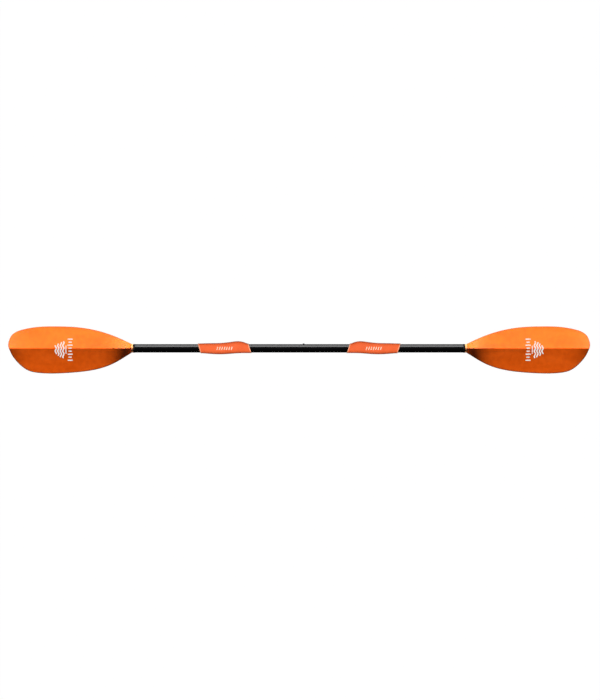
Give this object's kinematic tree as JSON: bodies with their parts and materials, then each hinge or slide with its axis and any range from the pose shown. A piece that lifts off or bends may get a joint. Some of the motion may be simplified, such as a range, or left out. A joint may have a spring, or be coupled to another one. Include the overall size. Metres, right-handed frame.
{
  "type": "kayak paddle",
  "caption": "Take-apart double-bladed kayak paddle: asymmetric folded blades, black tube shaft, swelled rubber grips and a sprung button in the middle joint.",
  "frame": {"origin": "on the shaft's axis, at the seam in the middle of the paddle", "axes": "+X along the shaft to the half with the socket and the button, +Y towards the blades' high edges and the button, +Z out of the blades' power faces"},
  "size_m": [2.2002, 0.179, 0.0441],
  "materials": {
    "blade_nylon": "moulded, satin",
    "shaft_black": "gloss black coated",
    "grip_rubber": "matt, fine grain",
    "ring_black": "dull",
    "rivet_steel": "satin",
    "plug_foam": "closed-cell foam",
    "insert_metal": "satin black anodised",
    "cap_plastic": "moulded",
    "seal_rubber": "smooth",
    "button_steel": "satin, darkened",
    "spring_steel": "spring temper"
  },
  "bodies": {
    "left_half": {"left_blade": "blade_nylon", "left_blade_rivet": "rivet_steel", "left_grip": "grip_rubber", "left_shaft_plug": "plug_foam", "left_shaft_tube": "shaft_black", "left_throat_ring": "ring_black", "ferrule_insert": "insert_metal", "ferrule_end_cap": "cap_plastic", "button_spring": "spring_steel"},
    "snap_button": {"snap_button": "button_steel"},
    "o_ring": {"ferrule_o_ring": "seal_rubber"},
    "right_half": {"right_blade": "blade_nylon", "right_blade_rivet": "rivet_steel", "right_grip": "grip_rubber", "right_shaft_plug": "plug_foam", "right_shaft_tube": "shaft_black", "right_throat_ring": "ring_black"}
  },
  "joints": [
    {"name": "button_press", "type": "slide", "parent": "left_half", "child": "snap_button", "axis": [0, -1, 0], "range_m": [0, 0.0045], "stiffness_N_per_m": 1500, "springref_m": -0.002, "deforming": ["button_spring"]},
    {"name": "feather", "type": "hinge", "parent": "left_half", "child": "o_ring", "pos_m": [0, 0, 0], "axis": [1, 0, 0], "range_deg": [0, 60], "deforming": ["snap_button"]},
    {"name": "take_apart", "type": "slide", "parent": "o_ring", "child": "right_half", "axis": [1, 0, 0], "range_m": [0, 0.16], "deforming": ["snap_button"]}
  ]
}
